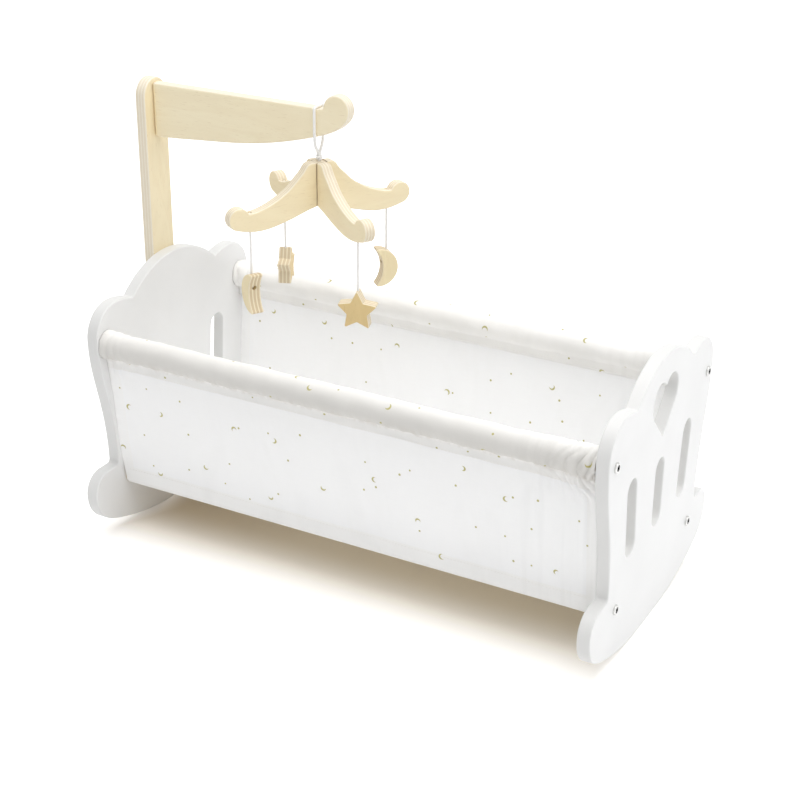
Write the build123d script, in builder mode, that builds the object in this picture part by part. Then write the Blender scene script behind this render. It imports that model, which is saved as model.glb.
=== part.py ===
"""A rocking doll cradle with a fabric bed and a hanging mobile.

Millimetres, +Z up, +X from the mobile's end to the other end, -Y towards the front.
The origin is on the floor, under the middle of the cradle's overall box.
"""
from build123d import *
import math
import os

# Cradle as a whole
length = 510.0              # over the outer faces of the two end panels
panel_thick = 12.0
edge_round = 1.5            # round-over on the painted panels
fit_gap = 0.1               # between a fixed piece and its hole
cut_over = 2.0              # how far a cut runs past a face

# End panel, half outline from the floor up
rocker_flat = 18.0          # half length of the flat middle of the rocker
rocker_radius = 265.0
rocker_reach = 104.0        # half width where the rocker's arc ends
foot_wide_height = 52.0
foot_radius = 20.0          # round upper end of the foot
foot_ledge = 15.5           # flat top of the foot, beside the waist
waist_half = 104.0          # half width on top of the foot
side_mid_half = 112.0
side_mid_height = 139.0
shoulder_half = 122.5
shoulder_height = 203.0
lobe_radius = 30.5
notch_half = 66.5
notch_height = 228.5
crown_height = 255.0
inner_round = 3.0           # inner corners of the outline

# Cut-outs of the end panels; the middle slot and the heart are in the right one only
slot_width = 20.5
slot_length = 73.5
slot_half = 63.0            # side slots, from the middle to their centre
slot_centre = 130.5
slot_lean = 5.0             # degrees, they follow the tapering sides
mid_slot_length = 64.0
heart_lobe = 16.5
heart_half = 13.0           # lobe centres, each side of the middle
heart_centre = 215.0
heart_round = 2.0

# Rails, and the bolts that hold them
top_rail_half = 108.0
top_rail_height = 197.0
low_rail_half = 87.0
low_rail_height = 55.5
top_rail_radius = 11.0
low_rail_radius = 7.5
bolt_radius = 2.5
bolt_length = 36.0          # under the head
bolt_head_radius = 4.5
bolt_head_height = 2.0
bolt_head_round = 0.8
socket_radius = 2.9         # to the corners of the hexagon
socket_depth = 1.4
insert_radius = 4.6
insert_length = 15.0

# Fabric bed
cloth = 1.0
rail_play = 0.3             # between a rail and its casing
hem_gap = 1.5               # from the fabric's side hem to each panel
casing_gap = 1.0            # from the casing's gathered end to the panel
hem_thick = 1.8
hem_depth = 10.0            # doubled band under the top casing
low_hem_depth = 8.0         # doubled band over the low casing
floor_seam = 17.0           # from the low rail to the floor's seam
floor_sag = 4.0
pucker_width = 9.0
pucker_height = 1.6
puckers_left = 3
puckers_right = 5

# Post and arm
ply = 11.0                  # thickness of the post's and the arm's boards
ply_round = 1.5
post_width = 33.0
post_top = 419.5
post_foot = 60.0
arm_top = 415.5
arm_depth = 50.0            # height of the arm at the post
arm_reach = 208.5           # from the post to the tip
bulb_radius = 13.0
arm_round = 1.8
arm_end_round = 4.0
arm_under_shares = [(0.25, 0.06), (0.485, 0.145), (0.665, 0.28), (0.85, 0.49), (0.945, 0.66)]
saddle_radius = 7.0
saddle_depth = 1.2
loop_from_tip = 33.5        # from the arm's tip back to the loop

# Wood screws
screw_radius = 2.0
screw_head_radius = 4.0
screw_head_height = 2.2
recess_width = 1.0
recess_length = 4.6
recess_depth = 1.2
panel_screw_length = 20.0
arm_screw_length = 38.0
screw_room = 0.8            # between a screw's end and its bore's
panel_screw_heights = (76.0, 176.0)
arm_screw_heights = (376.0, 404.0)

# Mobile: two boards halved into a cross
mobile_ply = 10.0
mobile_round = 1.2
long_angle = 59.6           # degrees from +X, the board over the two moons
cross_angle = long_angle - 90.0
hub_top = 366.8
hub_half = 9.5              # half length of the flat top
hub_under = 328.6
low_height = 313.2          # lowest line of the boards
knob_reach = 81.0
knob_height = 326.5
knob_radius = 10.0
notch_z = 330.4             # top edge beside the knob
knob_from = 45.0            # degrees on the knob's circle, its uppermost and lowest place
knob_to = -75.0
over_shares = [(0.21, 0.16), (0.28, 0.325), (0.38, 0.54), (0.48, 0.695), (0.64, 0.875), (0.8, 0.984)]
under_shares = [(0.895, 0.06), (0.75, 0.0), (0.605, 0.075), (0.48, 0.235), (0.38, 0.375), (0.17, 0.74)]
under_rise = 0.35           # slope of the underside at the hub
slot_play = 0.5             # each side of a board, in the other board's slot
hole_reach = 69.0           # from the hub to each string's hole
hole_play = 0.3
knot_sink = 3.9             # recess in the board's top for a string's knot

# Cords
loop_radius = 1.3
loop_gap = 0.3              # between the loop and the arm
hang_knot_radius = 3.1
knot_gap = 0.2
string_radius = 1.0
string_knot_radius = 1.8
stop_knot_radius = 3.0
recess_height = 9.0         # hollow under the hub for the stop knot
run_share = 0.45            # of the shorter run, taken by a corner's arc
loop_foot_share = 0.13      # heights along the loop, as shares of knot to saddle
loop_bend_share = 0.26

# Pendants
pendant_ply = 12.0
pendant_round = 1.0
moon_radius = 18.2
moon_thick = 14.4           # crescent at its middle
moon_inner_radius = 25.7
moon_tip_round = 1.2
moon_knot_rise = 4.5        # knot above the moon's middle
star_radius = 19.4
star_inner = 9.9
star_tip_round = 1.2
star_points = 5
pocket_radius = 2.1

# Places worked out from the sizes above
bed_x = (ply - bolt_head_height) / 2
left_face = bed_x - length / 2
inner_half = length / 2 - panel_thick
bed_length = 2 * inner_half
casing_in = top_rail_radius + rail_play
casing_out = casing_in + cloth
low_casing_in = low_rail_radius + rail_play
low_casing_out = low_casing_in + cloth
cloth_left = bed_x - inner_half + hem_gap
cloth_length = bed_length - 2 * hem_gap
arm_tip = left_face + arm_reach
mobile_x = arm_tip - loop_from_tip
foot_half = waist_half + foot_ledge + foot_radius
slot_foot = slot_centre - slot_length / 2
saddle_z = arm_top - saddle_depth
pivot_z = saddle_z + loop_gap + loop_radius
hang_knot_z = hub_top + knot_gap + hang_knot_radius
string_z = low_height
rail_places = [(-top_rail_half, top_rail_height), (top_rail_half, top_rail_height),
               (-low_rail_half, low_rail_height), (low_rail_half, low_rail_height)]

# Each pendant: board's angle, turn of its outline about the string, height of its middle
pendants = {
    "left_moon": (long_angle + 180.0, 149.0, 257.6),
    "right_moon": (long_angle, 48.0, 256.7),
    "front_star": (cross_angle, 18.0, 250.0),
    "back_star": (cross_angle + 180.0, -66.0, 247.7),
}


def write(builder, name):
    """Label a finished piece and write its file."""
    builder.part.label = name
    export_step(builder.part, f"parts/{name}.step")


def cross_plane(x):
    """A plane across the cradle's length: local x is Y, local y is Z."""
    return Plane.YZ.offset(x)


def upright_plane(x, y, angle):
    """An upright plane through a place, its local x turned by the angle from +X."""
    turn = math.radians(angle)
    return Plane(origin=(x, y, 0), x_dir=(math.cos(turn), math.sin(turn), 0),
                 z_dir=(math.sin(turn), -math.cos(turn), 0))


def strip(start, end, width):
    """Corners of a straight strip between two points."""
    a = Vector(*start)
    b = Vector(*end)
    across = (b - a).normalized().rotate(Axis.Z, 90) * (width / 2)
    return [(p.X, p.Y) for p in (a + across, b + across, b - across, a - across)]


def near(vertex, x, y):
    """Whether a sketch's vertex lies at a place."""
    return math.hypot(vertex.X - x, vertex.Y - y) < fit_gap


def panel_outline():
    """Half of the end panel's outline, mirrored to the whole."""
    toe = (rocker_reach, rocker_radius - math.sqrt(rocker_radius**2 - (rocker_reach - rocker_flat)**2))
    tip = (foot_half, foot_wide_height)
    with BuildLine() as half:
        base = Line((0, 0), (rocker_flat, 0))
        rocker = TangentArc(base @ 1, toe, tangent=base % 1)
        Spline(toe, tip, tangents=(rocker % 1, (0, 1)))
        foot = JernArc(start=tip, tangent=(0, 1), radius=foot_radius, arc_size=90)
        Line(foot @ 1, (waist_half, foot_wide_height + foot_radius))
        Spline((waist_half, foot_wide_height + foot_radius), (side_mid_half, side_mid_height),
               (shoulder_half, shoulder_height), tangents=((0, 1), (0, 1)))
        shoulder = JernArc(start=(shoulder_half, shoulder_height), tangent=(0, 1), radius=lobe_radius,
                           arc_size=90)
        TangentArc(shoulder @ 1, (notch_half, notch_height), tangent=(-1, 0))
        TangentArc((0, crown_height), (notch_half, notch_height), tangent=(1, 0))
        mirror(about=Plane.YZ)
    return half.line


def heart_cut():
    """The heart's face, cut from the sketch that is open."""
    reach = heart_half + heart_lobe * math.sqrt(0.5)
    drop = heart_centre - heart_lobe * math.sqrt(0.5)
    with Locations((-heart_half, heart_centre), (heart_half, heart_centre)):
        Circle(heart_lobe, mode=Mode.SUBTRACT)
    Polygon((-reach, drop), (0, drop - reach), (reach, drop), (0, heart_centre), align=None,
            mode=Mode.SUBTRACT)
    return drop - reach


def end_panel(name, side):
    """One end panel; side is -1 at the mobile's end and 1 at the other."""
    with BuildPart() as panel:
        with BuildSketch(cross_plane(bed_x + side * inner_half)) as face:
            add(panel_outline())
            make_face()
            inner = [(notch_half, notch_height), (waist_half, foot_wide_height + foot_radius)]
            corners = [v for v in face.vertices() for x, y in inner if near(v, x, y) or near(v, -x, y)]
            fillet(corners, inner_round)
            with Locations((slot_half, slot_centre)):
                SlotOverall(slot_length, slot_width, rotation=90 - slot_lean, mode=Mode.SUBTRACT)
            with Locations((-slot_half, slot_centre)):
                SlotOverall(slot_length, slot_width, rotation=90 + slot_lean, mode=Mode.SUBTRACT)
            if side > 0:
                with Locations((0, slot_foot + mid_slot_length / 2)):
                    SlotOverall(mid_slot_length, slot_width, rotation=90, mode=Mode.SUBTRACT)
                tip = heart_cut()
                fillet([v for v in face.vertices() if near(v, 0, tip)], heart_round)
        extrude(amount=side * panel_thick)
        fillet(panel.faces().filter_by(Axis.X).edges(), edge_round)
        with BuildSketch(cross_plane(bed_x + side * inner_half)):
            with Locations(*rail_places):
                Circle(bolt_radius + fit_gap)
        extrude(amount=side * (panel_thick + cut_over), mode=Mode.SUBTRACT)
        if side < 0:
            with BuildSketch(cross_plane(left_face)):
                with Locations(*[(0, height) for height in panel_screw_heights]):
                    Circle(screw_radius + fit_gap)
            extrude(amount=panel_screw_length - ply + screw_room, mode=Mode.SUBTRACT)
    write(panel, name)


def rail(name, place, radius):
    """A dowel between the panels, bored at both ends for its inserts."""
    with BuildPart() as dowel:
        with BuildSketch(cross_plane(bed_x - inner_half)):
            with Locations(place):
                Circle(radius)
        extrude(amount=bed_length)
        for side in (-1, 1):
            with BuildSketch(cross_plane(bed_x + side * inner_half)):
                with Locations(place):
                    Circle(insert_radius + fit_gap)
            extrude(amount=-side * insert_length, mode=Mode.SUBTRACT)
            with BuildSketch(cross_plane(bed_x + side * inner_half)):
                with Locations(place):
                    Circle(bolt_radius + fit_gap)
            extrude(amount=-side * (bolt_length - panel_thick + cut_over), mode=Mode.SUBTRACT)
    write(dowel, name)


def rail_inserts(name, side):
    """Four threaded inserts in the rails' ends at one panel."""
    with BuildPart() as inserts:
        with BuildSketch(cross_plane(bed_x + side * inner_half)):
            with Locations(*rail_places):
                Circle(insert_radius)
                Circle(bolt_radius + fit_gap, mode=Mode.SUBTRACT)
        extrude(amount=-side * insert_length)
    write(inserts, name)


def rail_bolts(name, side):
    """Four socket-head bolts through one panel into the rails."""
    outer = bed_x + side * length / 2
    with BuildPart() as bolts:
        with BuildSketch(cross_plane(outer)):
            with Locations(*rail_places):
                Circle(bolt_head_radius)
        extrude(amount=side * bolt_head_height)
        rims = bolts.faces().sort_by(Axis.X)[-4:] if side > 0 else bolts.faces().sort_by(Axis.X)[:4]
        fillet(rims.edges(), bolt_head_round)
        with BuildSketch(cross_plane(outer)):
            with Locations(*rail_places):
                Circle(bolt_radius)
        extrude(amount=-side * bolt_length)
        with BuildSketch(cross_plane(outer + side * (bolt_head_height - socket_depth))):
            with Locations(*rail_places):
                RegularPolygon(socket_radius, side_count=6)
        extrude(amount=side * (socket_depth + cut_over), mode=Mode.SUBTRACT)
    write(bolts, name)


def gathered_casing(side):
    """The tunnel of cloth round a top rail, puckered at its ends."""
    half = inner_half - casing_gap
    left = -half + puckers_left * pucker_width
    right = half - puckers_right * pucker_width
    starts = [-half + i * pucker_width for i in range(puckers_left)]
    starts += [right + i * pucker_width for i in range(puckers_right)]
    centre = (bed_x, side * top_rail_half, top_rail_height)
    with BuildPart() as casing:
        with BuildSketch(Plane(origin=centre, x_dir=(1, 0, 0), z_dir=(0, -1, 0))):
            with BuildLine():
                for start in starts:
                    ThreePointArc((start, casing_out), (start + pucker_width / 2, casing_out + pucker_height),
                                  (start + pucker_width, casing_out))
                Line((left, casing_out), (right, casing_out))
                Polyline((half, casing_out), (half, casing_in), (-half, casing_in), (-half, casing_out))
            make_face()
        revolve(axis=Axis(centre, (1, 0, 0)))
    return casing.part


def fabric_side(name, side):
    """One side of the bed: top casing, wall, low casing and the floor's seam edge."""
    top = (side * top_rail_half, top_rail_height - casing_in - cloth / 2)
    lean = math.atan2(top_rail_half - low_rail_half - low_casing_in, top[1] - low_rail_height)
    middle = low_casing_in + cloth / 2
    foot = (side * (low_rail_half + middle * math.cos(lean)), low_rail_height - middle * math.sin(lean))
    down = (Vector(*foot) - Vector(*top)).normalized()
    hem_end = Vector(*top) + down * (hem_depth + cloth)
    low_hem = Vector(*foot) - down * (low_casing_out + low_hem_depth)
    floor_z = low_rail_height - middle
    with BuildPart() as wall:
        with BuildSketch(cross_plane(cloth_left)):
            with Locations((side * low_rail_half, low_rail_height)):
                Circle(low_casing_out)
            Polygon(*strip(top, foot, cloth), align=None)
            Polygon(*strip(top, (hem_end.X, hem_end.Y), hem_thick), align=None)
            Polygon(*strip((low_hem.X, low_hem.Y), foot, hem_thick), align=None)
            Polygon(*strip((side * low_rail_half, floor_z), (side * (low_rail_half - floor_seam), floor_z),
                           cloth), align=None)
            with Locations((side * low_rail_half, low_rail_height)):
                Circle(low_casing_in, mode=Mode.SUBTRACT)
        extrude(amount=cloth_length)
        add(gathered_casing(side))
    write(wall, name)


def fabric_floor():
    """The sagging floor of the bed, sewn to the two sides."""
    seam = low_rail_half - floor_seam
    under = low_rail_height - low_casing_out
    with BuildPart() as floor:
        with BuildSketch(cross_plane(cloth_left)):
            with BuildLine():
                ThreePointArc((-seam, under), (0, under - floor_sag), (seam, under))
                Line((seam, under), (seam, under + cloth))
                ThreePointArc((seam, under + cloth), (0, under + cloth - floor_sag), (-seam, under + cloth))
                Line((-seam, under + cloth), (-seam, under))
            make_face()
        extrude(amount=cloth_length)
    write(floor, "fabric_floor")


def wood_screw(x, height, length_under):
    """One countersunk screw that points along +X, the face of its head at x."""
    face = Plane(origin=(x, 0, height), x_dir=(0, 1, 0), z_dir=(1, 0, 0))
    with BuildPart() as screw:
        with BuildSketch(face):
            Circle(screw_head_radius)
        with BuildSketch(face.offset(screw_head_height)):
            Circle(screw_radius)
        loft()
        with BuildSketch(face.offset(screw_head_height)):
            Circle(screw_radius)
        extrude(amount=length_under - screw_head_height)
        with BuildSketch(face):
            Rectangle(recess_width, recess_length)
            Rectangle(recess_length, recess_width)
        extrude(amount=recess_depth, mode=Mode.SUBTRACT)
    return screw.part


def post():
    """The upright board on the outside of the left panel, bored for its screws."""
    back = left_face - ply
    with BuildPart() as board:
        with BuildSketch(cross_plane(left_face)):
            with Locations((0, (post_foot + post_top - post_width / 2) / 2)):
                Rectangle(post_width, post_top - post_width / 2 - post_foot)
            with Locations((0, post_top - post_width / 2)):
                Circle(post_width / 2)
        extrude(amount=-ply)
        fillet(board.faces().filter_by(Axis.X).edges(), ply_round)
        for height in panel_screw_heights + arm_screw_heights:
            face = Plane(origin=(back, 0, height), x_dir=(0, 1, 0), z_dir=(1, 0, 0))
            with BuildSketch(face):
                Circle(screw_head_radius + fit_gap)
            with BuildSketch(face.offset(screw_head_height)):
                Circle(screw_radius + fit_gap)
            loft(mode=Mode.SUBTRACT)
            with BuildSketch(face):
                Circle(screw_radius + fit_gap)
            extrude(amount=ply + cut_over, mode=Mode.SUBTRACT)
    write(board, "post")


def post_screws():
    """Screws through the post, into the panel and into the arm's end."""
    back = left_face - ply
    with BuildPart() as low:
        for height in panel_screw_heights:
            add(wood_screw(back, height, panel_screw_length))
    write(low, "panel_screws")
    with BuildPart() as high:
        for height in arm_screw_heights:
            add(wood_screw(back, height, arm_screw_length))
    write(high, "arm_screws")


def arm():
    """The board that carries the mobile: a long beam with a round bulb past the loop's saddle."""
    bulb = arm_tip - bulb_radius
    under = [(left_face + share * arm_reach, arm_top - arm_depth + rise * arm_depth)
             for share, rise in arm_under_shares]
    with BuildPart() as beam:
        with BuildSketch(Plane.XZ) as face:
            with BuildLine():
                Spline((left_face, arm_top - arm_depth), *under, (arm_tip, arm_top),
                       tangents=((1, 0), (0, 1)))
                CenterArc((bulb, arm_top), bulb_radius, 0, 180)
                Polyline((bulb - bulb_radius, arm_top), (left_face, arm_top),
                         (left_face, arm_top - arm_depth))
            make_face()
            fillet([v for v in face.vertices() if near(v, bulb - bulb_radius, arm_top)], saddle_depth)
            with Locations((mobile_x, saddle_z + saddle_radius)):
                Circle(saddle_radius, mode=Mode.SUBTRACT)
        extrude(amount=ply / 2, both=True)
        fillet(beam.faces().sort_by(Axis.X)[0].edges().filter_by(Axis.Z), arm_end_round)
        long_edges = [edge for edge in beam.faces().filter_by(Axis.Y).edges()
                      if edge.center().X > left_face + arm_end_round + cut_over]
        fillet(long_edges, arm_round)
        for height in arm_screw_heights:
            with BuildSketch(Plane(origin=(left_face, 0, height), x_dir=(0, 1, 0), z_dir=(1, 0, 0))):
                Circle(screw_radius + fit_gap)
            extrude(amount=arm_screw_length - ply + screw_room, mode=Mode.SUBTRACT)
    write(beam, "mobile_arm")


def hang_loop():
    """The cord loop over the arm, its two ends meeting at the knot over the hub."""
    side = ply / 2 + loop_gap + loop_radius
    inside = hang_knot_radius / 2
    low = hang_knot_z + hang_knot_radius * math.cos(math.asin(inside / hang_knot_radius))
    rise = pivot_z - hang_knot_z
    half = [(inside, low), (inside, hang_knot_z + rise * loop_foot_share),
            (side, hang_knot_z + rise * loop_bend_share), (side, pivot_z)]
    points = [(mobile_x, -y, z) for y, z in half] + [(mobile_x, y, z) for y, z in reversed(half)]
    radii = corner_radii(points)
    radii[2] = radii[3] = arm_round + loop_gap + loop_radius
    print("hang_loop radii", [round(r, 2) for r in radii])
    with BuildPart() as loop:
        with BuildLine():
            FilletPolyline(*points, radius=radii)
        with BuildSketch(Plane(origin=points[0], z_dir=(0, 0, 1))):
            Circle(loop_radius)
        sweep()
        with Locations((mobile_x, 0, hang_knot_z)):
            Sphere(hang_knot_radius + knot_gap, mode=Mode.SUBTRACT)
    write(loop, "hang_loop")


def corner_radii(points):
    """The largest arc that each corner of a route has room for."""
    places = [Vector(*p) for p in points]
    radii = []
    for before, corner, after in zip(places, places[1:], places[2:]):
        turn = math.radians((corner - before).get_angle(after - corner))
        run = min((corner - before).length, (after - corner).length)
        radii.append(run_share * run / math.tan(turn / 2))
    return radii


def hang_knot():
    """The knot over the hub, its cord through the hub and the stop knot under it."""
    stop_z = hub_under + recess_height - knot_gap - stop_knot_radius
    with BuildPart() as knot:
        with Locations((mobile_x, 0, hang_knot_z)):
            Sphere(hang_knot_radius)
        with Locations((mobile_x, 0, stop_z)):
            Sphere(stop_knot_radius)
        with BuildSketch(Plane.XY.offset(stop_z)):
            with Locations((mobile_x, 0)):
                Circle(loop_radius)
        extrude(amount=hang_knot_z - stop_z)
    write(knot, "hang_knot")


def board_outline():
    """Half of a mobile board: flat hub, falling back, upturned knob and arched underside."""
    drop = hub_top - notch_z
    rise = hub_under - low_height
    left = knob_reach - math.sqrt(knob_radius**2 - (notch_z - knob_height)**2)
    over = [(share * knob_reach, hub_top - fall * drop) for share, fall in over_shares]
    under = [(share * knob_reach, low_height + up * rise) for share, up in under_shares]
    top = math.radians(knob_from)
    foot = math.radians(knob_to)
    joint = (knob_reach + knob_radius * math.cos(foot), knob_height + knob_radius * math.sin(foot))
    with BuildLine() as half:
        Line((0, hub_top), (hub_half, hub_top))
        Spline((hub_half, hub_top), *over, (left, notch_z), tangents=((1, 0), (1, 0)))
        ThreePointArc((left, notch_z), (knob_reach + knob_radius * math.cos(top),
                                        knob_height + knob_radius * math.sin(top)), joint)
        Spline(joint, *under, (0, hub_under), tangents=((math.sin(foot), -math.cos(foot)), (-1, under_rise)))
        mirror(about=Plane.YZ)
    return half.line


def mobile_board(name, angle, from_top):
    """One board of the mobile, slotted to half its height for the other."""
    middle = (hub_top + hub_under) / 2
    plane = upright_plane(mobile_x, 0, angle)
    with BuildPart() as board:
        with BuildSketch(plane):
            add(board_outline())
            make_face()
        extrude(amount=mobile_ply / 2, both=True)
        outline = board.faces().filter_by(GeomType.PLANE)
        outline = outline.filter_by(lambda f: abs(f.normal_at().dot(plane.z_dir)) > 1 - fit_gap)
        fillet(outline.edges(), mobile_round)
        slot_height = hub_top - middle + cut_over if from_top else middle - low_height + cut_over
        with BuildSketch(plane):
            with Locations((0, middle)):
                Rectangle(mobile_ply + 2 * slot_play, slot_height,
                          align=(Align.CENTER, Align.MIN if from_top else Align.MAX))
        extrude(amount=mobile_ply, both=True, mode=Mode.SUBTRACT)
        with BuildSketch(Plane.XY.offset(low_height)):
            with Locations((mobile_x, 0)):
                Circle(loop_radius + hole_play)
        extrude(amount=hub_top, mode=Mode.SUBTRACT)
        if from_top:
            with BuildSketch(Plane.XY.offset(hub_under + recess_height)):
                with Locations((mobile_x, 0)):
                    Circle(stop_knot_radius + hole_play)
            extrude(amount=-recess_height - cut_over, mode=Mode.SUBTRACT)
        holes = [string_place(angle), string_place(angle + 180)]
        with BuildSketch(Plane.XY.offset(low_height - cut_over)):
            with Locations(*holes):
                Circle(string_radius + hole_play)
        extrude(amount=hub_top, mode=Mode.SUBTRACT)
        with BuildSketch(Plane.XY.offset(notch_z - knot_sink)):
            with Locations(*holes):
                Circle(pocket_radius)
        extrude(amount=knot_sink + cut_over, mode=Mode.SUBTRACT)
    write(board, name)


def string_place(angle):
    """Where a string leaves its board, in plan."""
    turn = math.radians(angle)
    return mobile_x + hole_reach * math.cos(turn), hole_reach * math.sin(turn)


def string_knots():
    """The four knots sunk in the boards' tops, each with its string's end in the hole."""
    knot_z = notch_z - knot_sink + fit_gap + string_knot_radius
    with BuildPart() as knots:
        for angle, turn, height in pendants.values():
            x, y = string_place(angle)
            with Locations((x, y, knot_z)):
                Sphere(string_knot_radius)
            with BuildSketch(Plane.XY.offset(string_z + string_radius + knot_gap)):
                with Locations((x, y)):
                    Circle(string_radius)
            extrude(amount=knot_z - string_z - string_radius - knot_gap)
    write(knots, "string_knots")


def pendant_string(name, angle, knot_z):
    """The string that one pendant hangs from, down to its knot."""
    x, y = string_place(angle)
    with BuildPart() as string:
        with Locations((x, y, string_z)):
            Sphere(string_radius)
        with BuildSketch(Plane.XY.offset(knot_z + string_knot_radius)):
            with Locations((x, y)):
                Circle(string_radius)
        extrude(amount=string_z - knot_z - string_knot_radius)
        with Locations((x, y, knot_z)):
            Sphere(string_knot_radius, mode=Mode.SUBTRACT)
    write(string, f"{name}_string")


def pendant_knot(name, angle, knot_z):
    """The knot that carries one pendant."""
    x, y = string_place(angle)
    with BuildPart() as knot:
        with Locations((x, y, knot_z)):
            Sphere(string_knot_radius)
    write(knot, f"{name}_knot")


def moon_face():
    """A crescent with blunt tips, open towards local -x, its area's middle at the origin."""
    inner = moon_radius - moon_thick - moon_inner_radius
    with BuildSketch(Plane.XY) as face:
        Circle(moon_radius)
        with Locations((inner, 0)):
            Circle(moon_inner_radius, mode=Mode.SUBTRACT)
        fillet(face.vertices(), moon_tip_round)
    return face.sketch.moved(Location((-face.face().center(CenterOf.MASS).X, 0, 0)))


def moon(name, angle, turn, height):
    """A moon pendant; its string comes down a bore to a knot in the hollow side's pocket."""
    x, y = string_place(angle)
    plane = upright_plane(x, y, turn)
    plane.origin = (x, y, height)
    with BuildPart() as crescent:
        with BuildSketch(plane):
            add(moon_face())
        extrude(amount=pendant_ply / 2, both=True)
        flats = crescent.faces().filter_by(lambda f: abs(f.normal_at().dot(plane.z_dir)) > 1 - fit_gap)
        fillet(flats.edges(), pendant_round)
        with BuildSketch(Plane.XY.offset(moon_knot_z(height))):
            with Locations((x, y)):
                Circle(string_radius + hole_play)
        extrude(amount=moon_radius + cut_over, mode=Mode.SUBTRACT)
        start = plane.from_local_coords((-moon_thick, moon_knot_rise, 0))
        with BuildSketch(Plane(origin=start, x_dir=(0, 0, 1), z_dir=plane.x_dir)):
            Circle(pocket_radius)
        extrude(amount=moon_thick + pocket_radius, mode=Mode.SUBTRACT)
    write(crescent, name)


def star(name, angle, turn, height):
    """A star pendant; its string runs down a bore to a knot sunk in the lower notch."""
    x, y = string_place(angle)
    plane = upright_plane(x, y, turn)
    plane.origin = (x, y, height)
    step = math.pi / star_points
    corners = [(r * math.sin(i * step), r * math.cos(i * step)) for i, r in
               enumerate([star_radius, star_inner] * star_points)]
    with BuildPart() as shape:
        with BuildSketch(plane) as face:
            Polygon(*corners, align=None)
            fillet(face.vertices(), star_tip_round)
        extrude(amount=pendant_ply / 2, both=True)
        flats = shape.faces().filter_by(lambda f: abs(f.normal_at().dot(plane.z_dir)) > 1 - fit_gap)
        fillet(flats.edges(), pendant_round)
        with BuildSketch(Plane.XY.offset(height - star_inner - cut_over)):
            with Locations((x, y)):
                Circle(string_radius + hole_play)
        extrude(amount=2 * star_radius + cut_over, mode=Mode.SUBTRACT)
        with BuildSketch(Plane.XY.offset(height - star_inner - cut_over)):
            with Locations((x, y)):
                Circle(pocket_radius)
        extrude(amount=2 * string_knot_radius + hole_play + cut_over, mode=Mode.SUBTRACT)
    write(shape, name)


def moon_knot_z(height):
    """Height of a moon's knot, above its middle."""
    return height + moon_knot_rise


def star_knot_z(height):
    """Height of a star's knot, sunk in its lower notch."""
    return height - star_inner + string_knot_radius


def main():
    os.makedirs("parts", exist_ok=True)
    end_panel("end_panel_left", -1)
    end_panel("end_panel_right", 1)
    for name, place, radius in zip(("top_rail_front", "top_rail_back", "low_rail_front", "low_rail_back"),
                                   rail_places, [top_rail_radius] * 2 + [low_rail_radius] * 2):
        rail(name, place, radius)
    for name, side in (("left", -1), ("right", 1)):
        rail_inserts(f"rail_inserts_{name}", side)
        rail_bolts(f"rail_bolts_{name}", side)
    fabric_side("fabric_side_front", -1)
    fabric_side("fabric_side_back", 1)
    fabric_floor()
    post()
    post_screws()
    arm()
    hang_loop()
    hang_knot()
    mobile_board("mobile_board_long", long_angle, True)
    mobile_board("mobile_board_cross", cross_angle, False)
    string_knots()
    for name, (angle, turn, height) in pendants.items():
        if "moon" in name:
            moon(name, angle, turn, height)
            knot_z = moon_knot_z(height)
        else:
            star(name, angle, turn, height)
            knot_z = star_knot_z(height)
        pendant_string(name, angle, knot_z)
        pendant_knot(name, angle, knot_z)


main()
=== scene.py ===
"""A rocking doll cradle with a fabric bed and a hanging mobile, dressed for rendering.

Metres, in the same frame as the model: +X away from the mobile's post, -Y to the front, +Z up.
"""
import math

import bpy
from mathutils import Matrix, Vector, noise


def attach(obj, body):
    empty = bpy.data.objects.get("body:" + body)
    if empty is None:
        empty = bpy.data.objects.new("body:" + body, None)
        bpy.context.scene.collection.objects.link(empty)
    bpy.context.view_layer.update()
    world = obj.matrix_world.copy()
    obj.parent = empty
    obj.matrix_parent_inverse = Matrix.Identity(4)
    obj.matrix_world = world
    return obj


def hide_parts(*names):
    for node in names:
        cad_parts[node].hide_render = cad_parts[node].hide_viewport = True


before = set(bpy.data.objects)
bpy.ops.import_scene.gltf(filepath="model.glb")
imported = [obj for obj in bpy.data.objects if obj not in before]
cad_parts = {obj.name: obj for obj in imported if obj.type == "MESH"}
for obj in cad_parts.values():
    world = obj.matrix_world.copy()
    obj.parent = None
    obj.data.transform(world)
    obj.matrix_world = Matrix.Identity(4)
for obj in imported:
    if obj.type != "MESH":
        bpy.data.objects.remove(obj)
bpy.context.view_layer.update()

MM = 0.001

# Places and sizes that the model's pieces share
BED_X = 4.5 * MM           # middle of the bed
INNER_HALF = 243 * MM      # from there to the inside of each end panel
LEFT_END = BED_X - INNER_HALF
RIGHT_END = BED_X + INNER_HALF
TOP_RAIL = (108 * MM, 197 * MM)    # distance out from the middle, height
LOW_RAIL = (87 * MM, 55.5 * MM)
SOCKET = 2.75 * MM         # radius of the sockets in the bolts' heads
PLY = 11 * MM              # thickness of the post and the arm
BOARD = 10 * MM            # thickness of the cross's two boards
PENDANT = 12 * MM          # thickness of the moons and stars
BOARD_JOINT = 5.3 * MM     # from the middle of a board to the gap beside the other
PLIES = 7
POST_X = BED_X - 255 * MM - PLY / 2
MOBILE_X = -75.5 * MM      # where the loop hangs from the arm

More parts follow.
